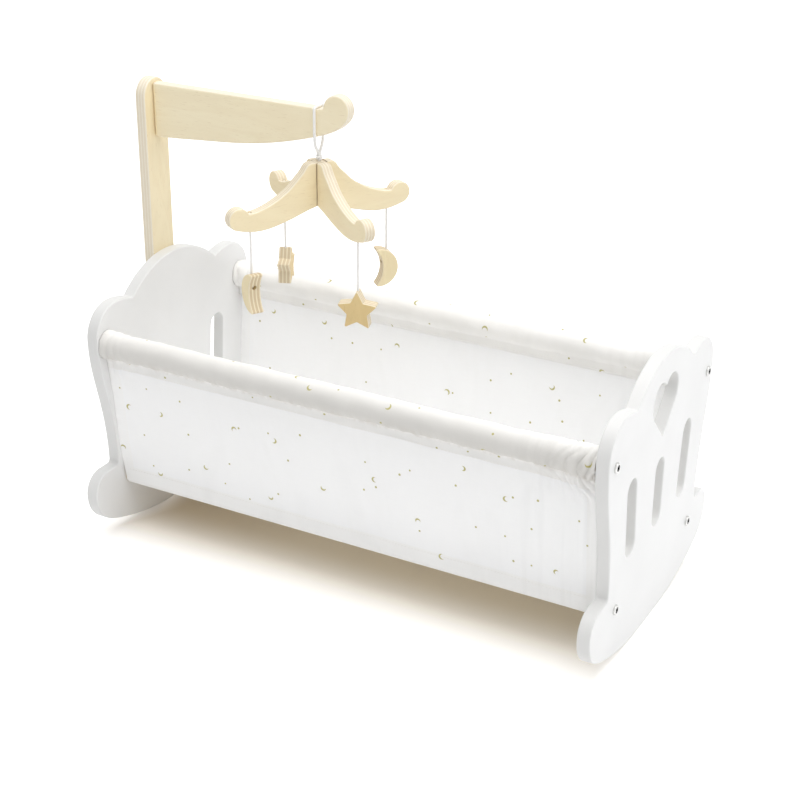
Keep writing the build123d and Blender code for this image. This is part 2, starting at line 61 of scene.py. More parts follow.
# Cloth of the bed
CLOTH = 0.7 * MM           # its thickness
TOP_RADIUS = 11.85 * MM    # of its path round the top rail
LOW_RADIUS = 8.3 * MM      # of its path round the low rail
SEAM = 70 * MM             # from the middle of the floor to its seam
FLOOR_SAG = 4 * MM
CASING_GAP = 0.4 * MM      # between the end panels and the top casings
HEM_GAP = 1.5 * MM         # between the end panels and the walls and floor
TOP_HEM = 22 * MM          # stitch line below the top rail's axis
LOW_HEM = 14 * MM          # stitch line above the low rail's axis
SIDE_HEM = 11 * MM         # width of the double cloth at a cloth's two ends
FLOOR_HEM = 6 * MM         # width of the double cloth at the floor's seams
TUBE_TURN = (-103, -437)   # the top casing's turn round its rail, in degrees
CASING_TURN = (118, 232)   # the inner strip's turn round the low rail

# Steps along a side's path, and its rows where the tube closes, at the top hem and at the low rail
HEM_STEPS = 4
TUBE_STEPS = 40
WALL_STEPS = 42
TUBE_END = HEM_STEPS + TUBE_STEPS
HEM_END = TUBE_END + HEM_STEPS
WALL_END = HEM_END + WALL_STEPS

# Stitches: the pitch, the share of it that the thread covers, and the thread itself
STITCH = 3.2 * MM
STITCH_SHARE = 0.62
THREAD_RADIUS = 0.22 * MM
THREAD_SIDES = 6
THREAD_SWELL = ((0.0, 0.25), (0.12, 0.85), (0.5, 1.0), (0.88, 0.85), (1.0, 0.25))
STITCH_LIFT = CLOTH / 2 + 0.12 * MM

# Cords and knots: heights, and the radius of each cord and of each knot
PIVOT_Z = 415.9 * MM       # of the loop's top on the arm
HANG_KNOT_Z = 370.1 * MM
STOP_KNOT_Z = 334.4 * MM
TOP_KNOT_Z = 328.4 * MM    # of the knots on the boards
STRING_Z = 313.2 * MM      # where the strings leave the boards
LOOP_RADIUS = 1.3 * MM
HANG_KNOT = 3.4 * MM
STOP_KNOT = 3.0 * MM
STRING_RADIUS = 1.0 * MM
STRING_KNOT = 1.8 * MM
KNOT_THREAD = 0.8 * STRING_RADIUS
KNOT_REACH = STRING_KNOT + 0.1 * MM
HOLE_REACH = 69 * MM       # from the middle of the cross to each string
LONG_ANGLE = 59.6          # of the long board from the X axis, in degrees
CROSS_ANGLE = LONG_ANGLE - 90

# Each pendant: its board's angle, the turn of its face and the height of its knot
PENDANTS = {
    "left_moon": (LONG_ANGLE + 180, 149.0, 262.1 * MM),
    "right_moon": (LONG_ANGLE, 48.0, 261.2 * MM),
    "front_star": (CROSS_ANGLE, 18.0, 241.9 * MM),
    "back_star": (CROSS_ANGLE + 180, -66.0, 239.6 * MM),
}

# The photograph's viewpoint, its place measured from the middle of the bed
EYE = (645.4 * MM, -1181.6 * MM, 777.9 * MM)
YAW, PITCH, ROLL = 28.52, 24.89, 0.55
LENS, SENSOR = 73.06, 36

# Each lamp: its place, its diameter and its power
LAMPS = {
    "top": ((0.28, 0.08, 2.3), 2.6, 36),
    "right": ((2.2, -0.4, 1.2), 1.4, 5),
}
LAMPS_AIM = (0, 0, 0.15)
SKY_LOW, SKY_HIGH = 0.42, 0.84

# The floor: half its width, and where the painted warm shadow beneath the bed fades out and grows paler
FLOOR_HALF = 6.0
FADE_X = (215 * MM, 275 * MM)
FADE_Y = (35 * MM, 150 * MM)
PALER_X = (-260 * MM, -40 * MM)


# Node helpers
class Graph:
    """A material's node tree, with short calls for the nodes used here."""

    def __init__(self, name):
        self.material = bpy.data.materials.new(name)
        self.material.use_nodes = True
        self.tree = self.material.node_tree
        self.shader = self.tree.nodes["Principled BSDF"]

    def node(self, kind, **values):
        made = self.tree.nodes.new(kind)
        for key, value in values.items():
            setattr(made, key, value)
        return made

    def set(self, socket, value):
        if isinstance(value, bpy.types.NodeSocket):
            self.tree.links.new(value, socket)
        else:
            socket.default_value = value

    def math(self, operation, a, b=0.0, c=0.0, clamp=False):
        made = self.node("ShaderNodeMath", operation=operation, use_clamp=clamp)
        for socket, value in zip(made.inputs, (a, b, c)):
            self.set(socket, value)
        return made.outputs[0]

    def smooth(self, value, low, high):
        made = self.node("ShaderNodeMapRange", interpolation_type="SMOOTHSTEP")
        self.set(made.inputs["Value"], value)
        made.inputs["From Min"].default_value = low
        made.inputs["From Max"].default_value = high
        return made.outputs["Result"]

    def vector(self, operation, a, b=None):
        made = self.node("ShaderNodeVectorMath", operation=operation)
        self.set(made.inputs[0], a)
        if b is not None:
            self.set(made.inputs[1], b)
        return made.outputs["Value" if operation == "LENGTH" else "Vector"]

    def scale(self, vector, factors):
        return self.vector("MULTIPLY", vector, factors)

    def split(self, vector):
        made = self.node("ShaderNodeSeparateXYZ")
        self.set(made.inputs[0], vector)
        return tuple(made.outputs)

    def turned(self, vector, angle):
        made = self.node("ShaderNodeVectorRotate", rotation_type="Z_AXIS")
        self.set(made.inputs["Vector"], vector)
        self.set(made.inputs["Angle"], angle)
        return made.outputs[0]

    def times(self, first, *others):
        for other in others:
            first = self.math("MULTIPLY", first, other)
        return first

    def rest(self, share):
        return self.math("SUBTRACT", 1.0, share)

    def hill(self, value, rise, fall):
        return self.times(self.smooth(value, *rise), self.rest(self.smooth(value, *fall)))

    def wave(self, vector, direction, scale, distortion=0.0):
        made = self.node("ShaderNodeTexWave", wave_type="BANDS", bands_direction=direction)
        self.set(made.inputs["Vector"], vector)
        made.inputs["Scale"].default_value = scale
        made.inputs["Distortion"].default_value = distortion
        made.inputs["Detail"].default_value = 1
        return made.outputs["Fac"]

    def noise(self, vector, scale=1.0, detail=3.0, rough=0.55, distortion=0.0):
        made = self.node("ShaderNodeTexNoise")
        self.set(made.inputs["Vector"], vector)
        made.inputs["Scale"].default_value = scale
        made.inputs["Detail"].default_value = detail
        made.inputs["Roughness"].default_value = rough
        made.inputs["Distortion"].default_value = distortion
        return made.outputs["Fac"]

    def ramp(self, value, stops):
        made = self.node("ShaderNodeValToRGB")
        elements = made.color_ramp.elements
        while len(elements) < len(stops):
            elements.new(0.5)
        for element, (place, colour) in zip(elements, stops):
            element.position = place
            element.color = (*colour, 1)
        self.set(made.inputs[0], value)
        return made.outputs[0]

    def mix(self, share, a, b, blend="MIX"):
        made = self.node("ShaderNodeMix", data_type="RGBA", blend_type=blend)
        for socket, value in ((made.inputs[0], share), (made.inputs[6], a), (made.inputs[7], b)):
            self.set(socket, (*value, 1) if isinstance(value, tuple) else value)
        return made.outputs[2]

    def bump(self, height, strength, distance):
        made = self.node("ShaderNodeBump")
        self.set(made.inputs["Height"], height)
        made.inputs["Strength"].default_value = strength
        made.inputs["Distance"].default_value = distance
        self.set(self.shader.inputs["Normal"], made.outputs[0])

    def coordinates(self, kind="Object"):
        return self.node("ShaderNodeTexCoord").outputs[kind]

    def finish(self, **values):
        for key, value in values.items():
            self.set(self.shader.inputs[key.replace("_", " ")], value)
        return self.material


# Materials
def paint_material():
    """White satin paint on fibreboard: faint roller texture, and painted shade that makes the cut edges
    greyer.
    """
    g = Graph("white_satin_paint")
    place = g.coordinates()
    tone = g.noise(place, scale=14, detail=4)
    colour = g.ramp(tone, [(0.3, (0.81, 0.811, 0.808)), (0.7, (0.845, 0.846, 0.843))])
    # Painted shade: surfaces that don't face along X, the cut edges, are made greyer.
    facing = g.math("ABSOLUTE", g.split(g.coordinates("Normal"))[0])
    edge = g.rest(g.smooth(facing, 0.55, 0.95))
    colour = g.mix(edge, colour, (0.88, 0.878, 0.868), blend="MULTIPLY")
    roller = g.noise(place, scale=900, detail=2)
    long_wave = g.noise(place, scale=60, detail=2)
    g.bump(g.math("MULTIPLY_ADD", long_wave, 0.6, roller), 0.12, 0.15 * MM)
    rough = g.math("MULTIPLY_ADD", g.noise(place, scale=35), 0.14, 0.36)
    return g.finish(Base_Color=colour, Roughness=rough, Specular_IOR_Level=0.45)


def blended(pale, deep, share):
    """A colour between two others."""
    return tuple(a + (b - a) * share for a, b in zip(pale, deep))


def veneer_colour(g, stretched, fibre, fleck):
    """Birch veneer: a broad pale figure with fine rings and fibre, and small dark flecks."""
    broad = g.noise(stretched(5, 34, 20), detail=3, distortion=0.6)
    figure = g.math("FRACT", g.times(broad, 7.0))
    rings = g.math("ABSOLUTE", g.math("MULTIPLY_ADD", figure, 2.0, -1.0))
    colour = g.mix(broad, (0.93, 0.845, 0.625), (0.90, 0.795, 0.555))
    colour = g.mix(g.times(rings, 0.16), colour, (0.74, 0.59, 0.36))
    colour = g.mix(g.times(fibre, 0.20), colour, (0.91, 0.82, 0.64))
    return g.mix(g.times(fleck, 0.28), colour, (0.58, 0.44, 0.26))


def layer_colour(g, stretched, depth, thick, dark):
    """The layers on a cut edge: long grain and end grain in turn, with glue lines between them."""
    layer = g.times(g.math("ADD", g.math("DIVIDE", depth, thick), 0.5), PLIES)
    wobble = g.math("MULTIPLY_ADD", g.noise(stretched(25, 25, 25), detail=2), 0.16, -0.08)
    pair = g.math("FRACT", g.times(g.math("ADD", layer, wobble), 0.5))
    side = blended((0.89, 0.83, 0.70), (0.84, 0.74, 0.54), dark)
    end = blended((0.83, 0.75, 0.60), (0.66, 0.52, 0.32), dark)
    glue = blended((0.69, 0.59, 0.44), (0.42, 0.30, 0.16), dark)
    stripes = g.ramp(pair, [(0.0, glue), (0.045, side), (0.455, side), (0.50, glue),
                            (0.545, end), (0.955, end), (1.0, glue)])
    fibre = g.noise(stretched(500, 500, 900), detail=3)
    return g.mix(g.times(fibre, 0.18), stripes, (0.60, 0.47, 0.30))


def ply_material(name, centre, angle, grain, thick, tint=(1.0, 1.0, 1.0), dark=0.0, seed=0.0, joint=0.0):
    """Birch plywood: veneer on the faces, layers on the edges.

    The layers lie across the board's thickness, at right angles to the angle; the grain runs
    along the board ("x") or upright ("z"). A joint is the distance from the centre to the line
    of painted shade in the gap where another board passes through.
    """
    g = Graph(name)
    turn = -math.radians(angle)
    mapping = g.node("ShaderNodeMapping")
    mapping.inputs["Rotation"].default_value = (0, 0, turn)
    mapping.inputs["Location"].default_value = -(Matrix.Rotation(turn, 3, "Z") @ Vector(centre))
    g.set(mapping.inputs["Vector"], g.coordinates())
    along, depth, across = g.split(mapping.outputs[0])
    if grain == "z":
        along, across = across, along
    facing = g.split(g.turned(g.coordinates("Normal"), turn))[1]
    on_face = g.smooth(g.math("ABSOLUTE", facing), 0.70, 0.93)

    def stretched(long_scale, cross_scale, deep_scale):
        made = g.node("ShaderNodeCombineXYZ")
        g.set(made.inputs[0], g.math("MULTIPLY_ADD", along, long_scale, seed))
        g.set(made.inputs[1], g.math("MULTIPLY_ADD", across, cross_scale, seed * 1.7))
        g.set(made.inputs[2], g.times(depth, deep_scale))
        return made.outputs[0]

    fibre = g.noise(stretched(30, 900, 60), detail=4, rough=0.6)
    fleck = g.smooth(g.noise(stretched(130, 1500, 60), detail=1), 0.66, 0.74)
    veneer = g.mix(1.0, veneer_colour(g, stretched, fibre, fleck), tint, blend="MULTIPLY")
    colour = g.mix(on_face, layer_colour(g, stretched, depth, thick, dark), veneer)
    # Painted shade: a dark line in the gap where the other board passes through.
    if joint:
        reach = g.math("ABSOLUTE", g.math("SUBTRACT", g.math("ABSOLUTE", along), joint))
        gap = g.rest(g.smooth(reach, 0.25 * MM, 0.8 * MM))
        colour = g.mix(g.times(gap, 0.6), colour, (0.30, 0.20, 0.11))
    height = g.math("MULTIPLY_ADD", fibre, 0.7, g.times(fleck, -0.5))
    g.bump(height, 0.22, 0.12 * MM)
    rough = g.math("MULTIPLY_ADD", fibre, 0.18, 0.42)
    return g.finish(Base_Color=colour, Roughness=rough, Specular_IOR_Level=0.35)


def dowel_material():
    """Bare beech dowel: straight fibres and short dark rays."""
    g = Graph("bare_beech")
    place = g.coordinates()
    fibre = g.noise(g.scale(place, (12, 500, 500)), detail=4)
    rays = g.smooth(g.noise(g.scale(place, (160, 1100, 1100)), detail=1), 0.64, 0.72)
    colour = g.ramp(fibre, [(0.3, (0.74, 0.56, 0.37)), (0.7, (0.82, 0.67, 0.47))])
    colour = g.mix(g.times(rays, 0.5), colour, (0.48, 0.30, 0.17))
    g.bump(fibre, 0.25, 0.1 * MM)
    return g.finish(Base_Color=colour, Roughness=0.6)


def outside_sockets(g, place, radius):
    """1 outside the round sockets of the bolts' heads, which are in line with the rails, 0 inside."""
    y, z = g.split(place)[1:]
    reaches = []
    for out, up in (TOP_RAIL, LOW_RAIL):
        dy = g.math("SUBTRACT", g.math("ABSOLUTE", y), out)
        dz = g.math("SUBTRACT", z, up)
        reaches.append(g.math("SQRT", g.math("ADD", g.times(dy, dy), g.times(dz, dz))))
    return g.smooth(g.math("MINIMUM", *reaches), radius - 0.2 * MM, radius + 0.1 * MM)


def metal_material(name, dark, light, rough, socket=0.0):
    """Plated steel or brass with fine tool marks; inside the socket's radius it is painted black and not
    metallic, as painted shade in the socket's recess.
    """
    g = Graph(name)
    place = g.coordinates()
    tone = g.noise(place, scale=700, detail=4)
    colour = g.ramp(tone, [(0.35, dark), (0.65, light)])
    metallic = 1.0
    # Painted shade: black, not metallic, inside the sockets of the bolts' heads.
    if socket:
        metallic = outside_sockets(g, place, socket)
        colour = g.mix(metallic, (0.02, 0.02, 0.021), colour)
    g.bump(g.noise(g.scale(place, (4000, 900, 900)), detail=2), 0.1, 0.05 * MM)
    worn = g.math("MULTIPLY_ADD", tone, 0.2, rough)
    return g.finish(Base_Color=colour, Roughness=worn, Metallic=metallic)


def cord_material():
    """White cotton cord: twisted strands as a fine slanting relief, with painted shade in the grooves
    between them.
    """
    g = Graph("white_cotton_cord")
    place = g.coordinates()
    strands = g.wave(place, "DIAGONAL", 420, distortion=1.5)
    fuzz = g.noise(place, scale=2600, detail=2)
    # Painted shade: the cord is darker along the grooves of its strands.
    colour = g.mix(g.times(strands, 0.35), (0.935, 0.928, 0.91), (0.80, 0.785, 0.75))
    g.bump(g.math("MULTIPLY_ADD", fuzz, 0.35, strands), 0.5, 0.2 * MM)
    return g.finish(Base_Color=colour, Roughness=0.85, Sheen_Weight=0.3, Sheen_Roughness=0.5)


def thread_material():
    """Sewing thread, a shade creamier than the cloth."""
    g = Graph("sewing_thread")
    place = g.coordinates()
    tone = g.noise(place, scale=3000, detail=2)
    colour = g.ramp(tone, [(0.35, (0.84, 0.83, 0.80)), (0.65, (0.91, 0.90, 0.875))])
    g.bump(tone, 0.4, 0.1 * MM)
    return g.finish(Base_Color=colour, Roughness=0.7)


def scatter(g, uv, spacing, empty, spread, seed):
    """A random point in each cell of the cloth: the way from it, a turn, whether it shows, its size.

    Empty is the share of cells that show nothing, and spread how much larger the largest is.
    """
    cells = g.node("ShaderNodeTexVoronoi", voronoi_dimensions="2D", feature="F1")
    shifted = g.vector("ADD", uv, (seed, seed * 1.3, 0))
    g.set(cells.inputs["Vector"], shifted)
    cells.inputs["Scale"].default_value = 1 / spacing
    cells.inputs["Randomness"].default_value = 0.85
    away = g.vector("SUBTRACT", shifted, cells.outputs["Position"])
    chance = g.node("ShaderNodeSeparateColor")
    g.set(chance.inputs[0], cells.outputs["Color"])
    spin = g.times(chance.outputs[0], 2 * math.pi)
    present = g.math("GREATER_THAN", chance.outputs[1], empty)
    size = g.math("MULTIPLY_ADD", chance.outputs[2], spread, 1.0)
    return away, spin, present, size


def disc(g, vector, radius, soft):
    """1 inside a disc round the vector's origin."""
    edge = g.math("SUBTRACT", radius, g.vector("LENGTH", vector))
    return g.math("MULTIPLY_ADD", edge, 0.5 / soft, 0.5, clamp=True)


def gold_print(g, uv, seed):
    """1 on the print: small crescents turned every way, and dots closer together."""
    away, spin, present, size = scatter(g, uv, 62 * MM, 0.20, 0.25, seed)
    away = g.turned(away, spin)
    outer = disc(g, away, g.times(size, 2.4 * MM), 0.22 * MM)
    inner = disc(g, g.vector("SUBTRACT", away, (1.35 * MM, 0, 0)), g.times(size, 2.1 * MM), 0.22 * MM)
    crescent = g.times(outer, g.rest(inner), present)
    away, _, present, size = scatter(g, uv, 36 * MM, 0.25, 0.35, seed + 0.37)
    dot = g.times(disc(g, away, g.times(size, 0.85 * MM), 0.2 * MM), present)
    return g.math("MAXIMUM", crescent, dot)


def sewn_double(g, u, v, length, bands):
    """1 where the cloth is sewn double: in its two side hems and in the bands."""
    double = g.math("LESS_THAN", u, SIDE_HEM)
    double = g.math("MAXIMUM", double, g.math("GREATER_THAN", u, length - SIDE_HEM))
    for first, last in bands:
        band = g.times(g.math("GREATER_THAN", v, first), g.math("LESS_THAN", v, last))
        double = g.math("MAXIMUM", double, band)
    return double


def cotton_ground(g, uv, length, bands, backed):
    """The cloth's white: creamier where it is double; painted shade makes it greyer on the tube's outer
    side over the rail, in faint blotches, in folds near the right end and in the crease under the tube.
    """
    u, v = g.split(uv)[:2]
    slub = g.noise(g.scale(uv, (60, 900, 1)), detail=3)
    slub = g.math("MULTIPLY_ADD", g.noise(g.scale(uv, (900, 60, 1)), detail=3), 0.5, slub)
    single = g.mix(slub, (0.93, 0.934, 0.940), (0.965, 0.968, 0.973))
    layered = g.mix(slub, (0.925, 0.921, 0.91), (0.957, 0.954, 0.944))
    ground = g.mix(sewn_double(g, u, v, length, bands), single, layered)
    # Painted shade on the outer, lower side of the tube over the rail.
    rail_shade = g.hill(v, (backed - 40 * MM, backed - 20 * MM), (backed - 6 * MM, backed))
    ground = g.mix(rail_shade, ground, (0.775, 0.768, 0.755), blend="MULTIPLY")
    # Painted shade: faint blotches all over, and soft fold streaks near the right end.
    blotch_shade = g.noise(g.scale(uv, (22, 9, 1)), detail=3, distortion=0.5)
    ground = g.mix(g.smooth(blotch_shade, 0.42, 0.66), ground, (0.965, 0.965, 0.963), blend="MULTIPLY")
    folds = g.smooth(g.noise(g.scale(uv, (85, 5, 1)), detail=2), 0.48, 0.66)
    folds = g.times(folds, g.smooth(u, length - 110 * MM, length - 15 * MM))
    ground = g.mix(folds, ground, (0.94, 0.94, 0.938), blend="MULTIPLY")
    # Painted shade in the crease where the tube meets the hem, broken up into tucks.
    tucks = g.smooth(g.noise(g.scale(uv, (150, 45, 1)), detail=2, distortion=0.8), 0.36, 0.66)
    crease = g.hill(v, (backed - 15 * MM, backed - 3 * MM), (backed - 1 * MM, backed + 5 * MM))
    ground = g.mix(g.times(crease, tucks, 0.5), ground, (0.60, 0.565, 0.52))
    hem = g.times(g.rest(g.smooth(v, backed + 11 * MM, backed + 12 * MM)), 0.6)
    return g.mix(hem, ground, (0.95, 0.935, 0.91), blend="MULTIPLY")


def cotton_relief(g, uv):
    """The weave and the soft creases of the cloth."""
    weave = 1 / (3.2 * MM)
    threads = g.times(g.wave(uv, "X", weave), g.wave(uv, "Y", weave))
    crease = g.noise(g.scale(uv, (42, 16, 1)), detail=5, rough=0.5, distortion=0.8)
    g.bump(g.math("MULTIPLY_ADD", crease, 3.0, g.times(threads, 0.25)), 0.30, 0.5 * MM)


def cloth_material(name, length, bands, seed, backed=0.0, low=1.0):
    """Thin white cotton with a scatter of small gold crescents and dots.

    The UV map is in metres, along the bed and across the cloth. Bands are the stretches across
    the cloth that are sewn double; the two side hems are double as well. Light comes through the
    cloth beyond the stretch that is backed by a rail, and less of it towards the low stitch line.
    """
    g = Graph(name)
    uv = g.node("ShaderNodeUVMap", uv_map="cloth").outputs[0]
    gold = gold_print(g, uv, seed)
    ink = g.mix(g.noise(uv, scale=2500, detail=2), (0.37, 0.335, 0.08), (0.54, 0.485, 0.16))
    colour = g.mix(g.times(gold, 0.9), cotton_ground(g, uv, length, bands, backed), ink)
    rough = g.math("MULTIPLY_ADD", gold, -0.35, 0.86)
    cotton_relief(g, uv)
    v = g.split(uv)[1]
    fading = g.math("MULTIPLY_ADD", g.smooth(v, low - 38 * MM, low), -0.75, 1.0)
    through = g.times(g.smooth(v, backed, backed + 6 * MM), 0.83, fading)
    return g.finish(Base_Color=colour, Roughness=rough, Sheen_Weight=0.2, Sheen_Roughness=0.45,
                    Specular_IOR_Level=0.25, Subsurface_Weight=through, Subsurface_Radius=(1, 1, 1),
                    Subsurface_Scale=1.4 * MM)


# Mesh helpers
def add_mesh(name, vertices, faces, material, body, uv=None):
    """A mesh object that rides on a body, smooth, with a UV map if there is one."""
    mesh = bpy.data.meshes.new(name)
    mesh.from_pydata([tuple(v) for v in vertices], [], faces)
    mesh.update()
    for polygon in mesh.polygons:
        polygon.use_smooth = True
    if uv:
        layer = mesh.uv_layers.new(name="cloth")
        for loop in mesh.loops:
            layer.data[loop.index].uv = uv[loop.vertex_index]
    piece = bpy.data.objects.new(name, mesh)
    bpy.context.scene.collection.objects.link(piece)
    mesh.materials.append(material)
    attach(piece, body)
    return piece


def side_word(side):
    """The name of a side of the bed, from its sign along Y."""
    return "front" if side < 0 else "back"


def grid_faces(columns, rows, side=-1):
    """The quads of a grid of vertices, row after row, turned round for the back of the bed."""
    faces = [(r * columns + c, r * columns + c + 1, (r + 1) * columns + c + 1, (r + 1) * columns + c)
             for r in range(rows - 1) for c in range(columns - 1)]
    return [tuple(reversed(face)) for face in faces] if side > 0 else faces


def thicken(piece):
    """Gives a sheet its thickness, half to each side."""
    solid = piece.modifiers.new("thickness", "SOLIDIFY")
    solid.thickness = CLOTH
    solid.offset = 0
    solid.use_even_offset = False


def near(distance, spread, power=2):
    """1 at no distance, falling to nothing over the spread."""
    return math.exp(-((distance / spread) ** power))


def ripple(x, long, t, wide, seed):
    """Smooth noise over the cloth, its swells about so long along the bed and so wide across."""
    return noise.noise(Vector((x / long, t / wide, seed)))


# Cloth of the bed
def arc(centre, radius, start, end, steps):
    """Points on an arc in the plane of outward and up, angles in degrees."""
    turns = [math.radians(start + (end - start) * i / steps) for i in range(steps + 1)]
    return [(centre[0] + radius * math.cos(a), centre[1] + radius * math.sin(a)) for a in turns]


def straight(start, end, steps):
    """Points on a straight run, without its first point."""
    return [(start[0] + (end[0] - start[0]) * i / steps, start[1] + (end[1] - start[1]) * i / steps)
            for i in range(1, steps + 1)]


def side_profile():
    """The path across one side: inner hem, over the top rail, down the wall, round the low rail."""
    hem_z = TOP_RAIL[1] - TOP_HEM
    lean = (TOP_RAIL[0] - LOW_RAIL[0] - LOW_RADIUS) / (TOP_RAIL[1] - TOP_RADIUS - LOW_RAIL[1])
    hem_u = TOP_RAIL[0] - lean * (TOP_HEM - TOP_RADIUS)
    layer = 0.55 * MM
    path = [(hem_u - layer, hem_z)]
    tube = arc(TOP_RAIL, TOP_RADIUS, *TUBE_TURN, TUBE_STEPS)
    path += straight(path[0], tube[0], HEM_STEPS) + tube[1:]
    path += straight(tube[-1], (hem_u + layer, hem_z), HEM_STEPS)
    low = arc(LOW_RAIL, LOW_RADIUS, -math.degrees(math.atan(lean)), -90, 10)
    path += straight(path[-1], low[0], WALL_STEPS) + low[1:]
    path += straight(low[-1], (SEAM - 3 * MM, low[-1][1]), 7)
    return path


def casing_profile():
    """The inner strip's path: from the wall, over the low rail, to the floor's seam."""
    on_wall = (LOW_RAIL[0] + 8.9 * MM, LOW_RAIL[1] + LOW_HEM)
    under_rail = (78.3 * MM, 48.5 * MM)
    at_seam = (72.5 * MM, 48.75 * MM)
    tube = arc(LOW_RAIL, LOW_RADIUS, *CASING_TURN, 16)
    path = [on_wall] + straight(on_wall, tube[0], 6) + tube[1:]
    path += straight(path[-1], under_rail, 3)
    return path + straight(path[-1], at_seam, 4)


def lengths(path):
    """Distance along a path at each of its points."""
    total = [0.0]
    for a, b in zip(path, path[1:]):
        total.append(total[-1] + math.hypot(b[0] - a[0], b[1] - a[1]))
    return total


def outward(path, i):
    """The unit normal at a point of a path, to its left."""
    a, b = path[max(i - 1, 0)], path[min(i + 1, len(path) - 1)]
    run = math.hypot(b[0] - a[0], b[1] - a[1])
    return (-(b[1] - a[1]) / run, (b[0] - a[0]) / run)


def side_columns():
    """Shares along the bed of the cloth's columns, closer together at the gathered ends."""
    ends, middle, end_share = 60, 110, 0.14
    left = [end_share * i / ends for i in range(ends)]
    centre = [end_share + (1 - 2 * end_share) * i / middle for i in range(middle)]
    right = [1 - end_share + end_share * i / ends for i in range(ends + 1)]
    return left + centre + right


def gather(x_left, x_right, t, seed, depth):
    """Height of the gathers at a point, from the distances to the cloth's two ends.

    They are narrow folds with sharp valleys, which wander and fan out away from the ends.
    """
    right = 3.8 * MM * near(x_right, 36 * MM, 1.6) * depth
    left = 2.4 * MM * near(x_left, 20 * MM, 1.5)
    wander = ripple(x_left, 22 * MM, t, 14 * MM, seed)
    fan = 12 * MM * math.sin(t / (12 * MM) + seed) * math.exp(-x_right / (50 * MM))
    valley = (0.5 - 0.5 * math.sin(2 * math.pi * (x_left + fan) / (9.2 * MM) + wander * 4.5)) ** 4
    crumple = 0.5 + 0.5 * ripple(x_left, 5 * MM, t, 8 * MM, seed + 3)
    return (right + left) * (0.75 * (1 - valley) + 0.5 * crumple - 0.35)


def casing_relief(x, t, run, seed, ease, depth):
    """Height of the cloth round the top rail: gathers, slack, and tucks where its tube closes."""
    height = gather(x - LEFT_END, RIGHT_END - x, t, seed, depth) * (1 - 0.75 * ease)
    height *= math.exp(-max(0.0, t - run[HEM_END]) / (70 * MM))
    slack = ripple(x, 26 * MM, t, 17 * MM, seed + 23) + 0.6 * ripple(x, 11 * MM, t, 10 * MM, seed + 29)
    tuck = ripple(x + 0.3 * t, 6.2 * MM, t, 16 * MM, seed + 31)
    return height + 0.75 * MM * slack * (1 - ease) + 1.5 * MM * tuck * near(t - run[TUBE_END], 9 * MM)


def stitch_relief(x, t, run, seed):
    """Height of the small puckers beside the three rows of stitches."""
    spread = 4 * MM
    rows = near(t - run[HEM_END], spread) + near(t, spread) + near(t - run[WALL_END] + LOW_HEM, spread)
    return 0.42 * MM * ripple(x, 5.5 * MM, t, 20 * MM, seed + 19) * rows


def wall_relief(x, t, from_edge, run, seed):
    """Height of the wall: a belly, waves, streaks and a curl at its ends, and the double hems."""
    x_left, x_right = x - LEFT_END, RIGHT_END - x
    drop = max(0.0, t - run[HEM_END]) / (run[WALL_END] - run[HEM_END])
    height = 1.2 * MM * ripple(x, 55 * MM, t, 160 * MM, seed + 7)
    fade = 0.4 + 1.9 * math.exp(-x_right / (85 * MM)) + 0.7 * math.exp(-x_left / (40 * MM))
    height += 0.6 * MM * ripple(x, 16 * MM, t, 150 * MM, seed + 11) * fade
    height += 1.0 * MM * math.sin(math.pi * min(1.0, drop))
    curl = 0.5 + ripple(x_left, 20 * MM, t, 24 * MM, seed + 37)
    height += 1.6 * MM * curl * near(x_left, 7 * MM)
    height += 0.28 * MM * min(1.0, 6 * max(0.0, 1 - from_edge / SIDE_HEM))
    return height + (0.32 * MM if t > run[WALL_END] - LOW_HEM else 0.0)


def side_vertices(side, seed, path, run):
    """The points of one side's cloth with their places on the flat cloth, row after row."""
    shares = side_columns()
    depth = 1.0 if side < 0 else 0.7
    vertices, uv = [], []
    for row, (out, up) in enumerate(path):
        t = run[row]
        n = outward(path, row)
        ease = min(1.0, max(0.0, t - run[HEM_END]) / (30 * MM))
        ease = ease * ease * (3 - 2 * ease)
        gap = CASING_GAP + (HEM_GAP - CASING_GAP) * ease
        width = 2 * (INNER_HALF - gap)
        on_wall = ease * max(0.0, min(1.0, (run[WALL_END] - t) / (20 * MM)))
        for share in shares:
            x = LEFT_END + gap + width * share
            height = casing_relief(x, t, run, seed, ease, depth) + stitch_relief(x, t, run, seed)
            height += on_wall * wall_relief(x, t, min(share, 1 - share) * width, run, seed)
            droop = 3.0 * MM * near(RIGHT_END - x, 20 * MM) * near(t - run[HEM_END], 10 * MM)
            vertices.append((x, side * (out + n[0] * height), up + n[1] * height - droop))
            uv.append((share * width, t))
    return vertices, uv, len(shares)


def side_cloth(side, seed, thread):
    """One side of the bed as a single cloth, with its three rows of stitches."""
    path = side_profile()
    run = lengths(path)
    low_stitch = run[WALL_END] - LOW_HEM
    vertices, uv, columns = side_vertices(side, seed, path, run)
    word = side_word(side)
    bands = [(-MM, run[HEM_END]), (low_stitch, run[-1] + MM)]
    material = cloth_material(f"printed_cotton_{word}", 2 * INNER_HALF - 2 * CASING_GAP, bands,
                              0.11 * seed, backed=run[TUBE_END], low=low_stitch)
    faces = grid_faces(columns, len(path), side)
    cloth = add_mesh(f"bed_cloth_{word}", vertices, faces, material, "cradle", uv)
    thicken(cloth)
    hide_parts(f"fabric_side_{word}")
    low_row = next(i for i, t in enumerate(run) if t > low_stitch)
    for label, row in (("top", HEM_END), ("hem", 1), ("low", low_row)):
        n = outward(path, row)
        line = cloth_line(vertices, columns, row, (0, side * n[0], n[1]))
        stitches(f"stitches_{label}_{word}", line, thread)


